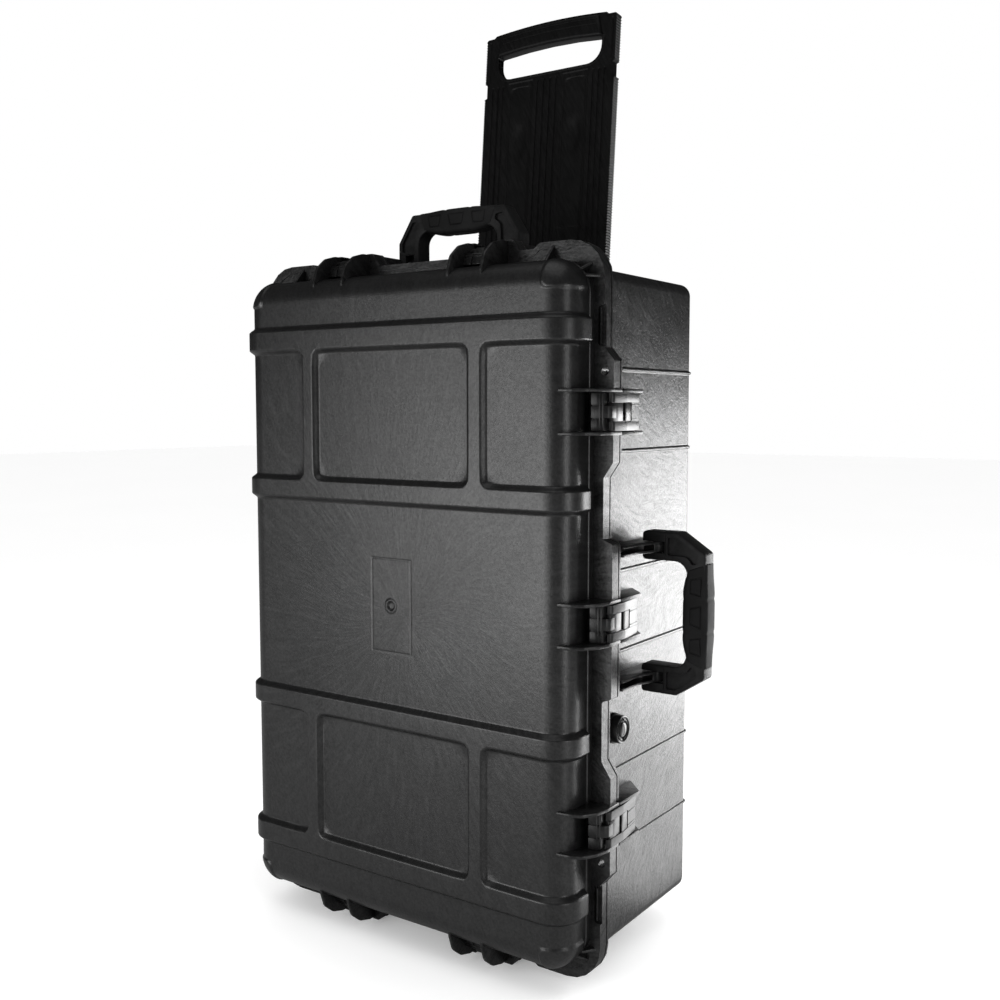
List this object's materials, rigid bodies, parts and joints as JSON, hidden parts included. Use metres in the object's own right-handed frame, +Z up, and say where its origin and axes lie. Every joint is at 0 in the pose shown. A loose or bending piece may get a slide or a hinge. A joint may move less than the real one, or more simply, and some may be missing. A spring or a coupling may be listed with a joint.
{
  "type": "wheeled hard equipment case",
  "caption": "Upright wheeled hard equipment case with a side-hinged ribbed lid, double latches, folding handles, a pull-out trolley panel and a pressure valve.",
  "frame": {"origin": "middle of the floor under the whole case, at the height of the base rim's feet and the tyres", "axes": "+Z up along the case's long side, -Y out of the lid's face, +X towards the latch side with the side handle"},
  "size_m": [0.5988, 0.3606, 1.1594],
  "materials": {
    "shell": "moulded, fine grained, faint flow streaks",
    "latch": "moulded, satin",
    "handle": "moulded, satin",
    "rubber": "soft overmould, matt",
    "tyre": "solid rubber tread",
    "trolley": "moulded, satin, ribbed",
    "steel": "turned pins",
    "seal": "soft foam rubber"
  },
  "bodies": {
    "base": {"base_shell": "shell", "hinge_pin_upper": "steel", "hinge_pin_middle": "steel", "hinge_pin_lower": "steel", "trolley_housing": "trolley", "wheel_left_axle": "steel", "wheel_right_axle": "steel", "valve_body": "handle", "valve_nut": "handle", "side_upper_latch_pin": "steel", "side_middle_latch_pin": "steel", "side_lower_latch_pin": "steel", "top_left_latch_pin": "steel", "bottom_left_latch_pin": "steel", "top_right_latch_pin": "steel", "bottom_right_latch_pin": "steel"},
    "lid": {"lid_shell": "shell", "lid_seal": "seal"},
    "side_upper_latch": {"side_upper_latch_frame": "latch", "side_upper_lever_pin": "steel"},
    "side_upper_lever": {"side_upper_latch_lever": "latch"},
    "side_middle_latch": {"side_middle_latch_frame": "latch", "side_middle_lever_pin": "steel"},
    "side_middle_lever": {"side_middle_latch_lever": "latch"},
    "side_lower_latch": {"side_lower_latch_frame": "latch", "side_lower_lever_pin": "steel"},
    "side_lower_lever": {"side_lower_latch_lever": "latch"},
    "top_left_latch": {"top_left_latch_frame": "latch", "top_left_lever_pin": "steel"},
    "top_left_lever": {"top_left_latch_lever": "latch"},
    "bottom_left_latch": {"bottom_left_latch_frame": "latch", "bottom_left_lever_pin": "steel"},
    "bottom_left_lever": {"bottom_left_latch_lever": "latch"},
    "top_right_latch": {"top_right_latch_frame": "latch", "top_right_lever_pin": "steel"},
    "top_right_lever": {"top_right_latch_lever": "latch"},
    "bottom_right_latch": {"bottom_right_latch_frame": "latch", "bottom_right_lever_pin": "steel"},
    "bottom_right_lever": {"bottom_right_latch_lever": "latch"},
    "side_handle": {"side_handle_frame": "handle", "side_handle_grip": "rubber", "side_handle_pin_a": "steel", "side_handle_pin_b": "steel"},
    "top_handle": {"top_handle_frame": "handle", "top_handle_grip": "rubber", "top_handle_pin_a": "steel", "top_handle_pin_b": "steel"},
    "trolley": {"trolley_panel": "trolley"},
    "release_button": {"trolley_release_button": "trolley"},
    "wheel_left": {"wheel_left_tyre": "tyre", "wheel_left_hub": "handle"},
    "wheel_right": {"wheel_right_tyre": "tyre", "wheel_right_hub": "handle"},
    "valve_knob": {"valve_knob": "handle"}
  },
  "joints": [
    {"name": "lid_hinge", "type": "hinge", "parent": "base", "child": "lid", "pos_m": [-0.29306, -0.10514, 0.4145], "axis": [0, 0, 1], "range_deg": [-110, 0]},
    {"name": "side_upper_latch_swing", "type": "hinge", "parent": "base", "child": "side_upper_latch", "pos_m": [0.22094, -0.06384, 0.6373], "axis": [0, 0, 1], "range_deg": [0, 90]},
    {"name": "side_upper_lever_pull", "type": "hinge", "parent": "side_upper_latch", "child": "side_upper_lever", "pos_m": [0.22794, -0.09234, 0.6373], "axis": [0, 0, 1], "range_deg": [0, 60]},
    {"name": "side_middle_latch_swing", "type": "hinge", "parent": "base", "child": "side_middle_latch", "pos_m": [0.22094, -0.06384, 0.4145], "axis": [0, 0, 1], "range_deg": [0, 90]},
    {"name": "side_middle_lever_pull", "type": "hinge", "parent": "side_middle_latch", "child": "side_middle_lever", "pos_m": [0.22794, -0.09234, 0.4145], "axis": [0, 0, 1], "range_deg": [0, 60]},
    {"name": "side_lower_latch_swing", "type": "hinge", "parent": "base", "child": "side_lower_latch", "pos_m": [0.22094, -0.06384, 0.1917], "axis": [0, 0, 1], "range_deg": [0, 90]},
    {"name": "side_lower_lever_pull", "type": "hinge", "parent": "side_lower_latch", "child": "side_lower_lever", "pos_m": [0.22794, -0.09234, 0.1917], "axis": [0, 0, 1], "range_deg": [0, 60]},
    {"name": "top_left_latch_swing", "type": "hinge", "parent": "base", "child": "top_left_latch", "pos_m": [-0.13296, -0.06384, 0.807], "axis": [-1, 0, 0], "range_deg": [0, 90]},
    {"name": "top_left_lever_pull", "type": "hinge", "parent": "top_left_latch", "child": "top_left_lever", "pos_m": [-0.13296, -0.09234, 0.814], "axis": [-1, 0, 0], "range_deg": [0, 60]},
    {"name": "bottom_left_latch_swing", "type": "hinge", "parent": "base", "child": "bottom_left_latch", "pos_m": [-0.13296, -0.06384, 0.022], "axis": [1, 0, 0], "range_deg": [0, 90]},
    {"name": "bottom_left_lever_pull", "type": "hinge", "parent": "bottom_left_latch", "child": "bottom_left_lever", "pos_m": [-0.13296, -0.09234, 0.015], "axis": [1, 0, 0], "range_deg": [0, 60]},
    {"name": "top_right_latch_swing", "type": "hinge", "parent": "base", "child": "top_right_latch", "pos_m": [0.06724, -0.06384, 0.807], "axis": [-1, 0, 0], "range_deg": [0, 90]},
    {"name": "top_right_lever_pull", "type": "hinge", "parent": "top_right_latch", "child": "top_right_lever", "pos_m": [0.06724, -0.09234, 0.814], "axis": [-1, 0, 0], "range_deg": [0, 60]},
    {"name": "bottom_right_latch_swing", "type": "hinge", "parent": "base", "child": "bottom_right_latch", "pos_m": [0.06724, -0.06384, 0.022], "axis": [1, 0, 0], "range_deg": [0, 90]},
    {"name": "bottom_right_lever_pull", "type": "hinge", "parent": "bottom_right_latch", "child": "bottom_right_lever", "pos_m": [0.06724, -0.09234, 0.015], "axis": [1, 0, 0], "range_deg": [0, 60]},
    {"name": "side_handle_fold", "type": "hinge", "parent": "base", "child": "side_handle", "pos_m": [0.23644, -0.02684, 0.4145], "axis": [0, 0, 1], "range_deg": [0, 90]},
    {"name": "top_handle_fold", "type": "hinge", "parent": "base", "child": "top_handle", "pos_m": [-0.03106, -0.03484, 0.82], "axis": [-1, 0, 0], "range_deg": [0, 90]},
    {"name": "trolley_slide", "type": "slide", "parent": "base", "child": "trolley", "axis": [0, 0.0835, 0.9965], "range_m": [-0.31, 0]},
    {"name": "release_button_press", "type": "slide", "parent": "base", "child": "release_button", "axis": [0, -0.9965, 0.0835], "range_m": [0, 0.0025], "stiffness_N_per_m": 300, "springref_m": -0.001},
    {"name": "wheel_left_spin", "type": "hinge", "parent": "base", "child": "wheel_left", "pos_m": [-0.19106, 0.09416, 0.038], "axis": [1, 0, 0], "continuous": true},
    {"name": "wheel_right_spin", "type": "hinge", "parent": "base", "child": "wheel_right", "pos_m": [0.12894, 0.09416, 0.038], "axis": [1, 0, 0], "continuous": true},
    {"name": "valve_knob_turn", "type": "hinge", "parent": "base", "child": "valve_knob", "pos_m": [0.20694, -0.07834, 0.288], "axis": [1, 0, 0], "range_deg": [0, 270]}
  ]
}
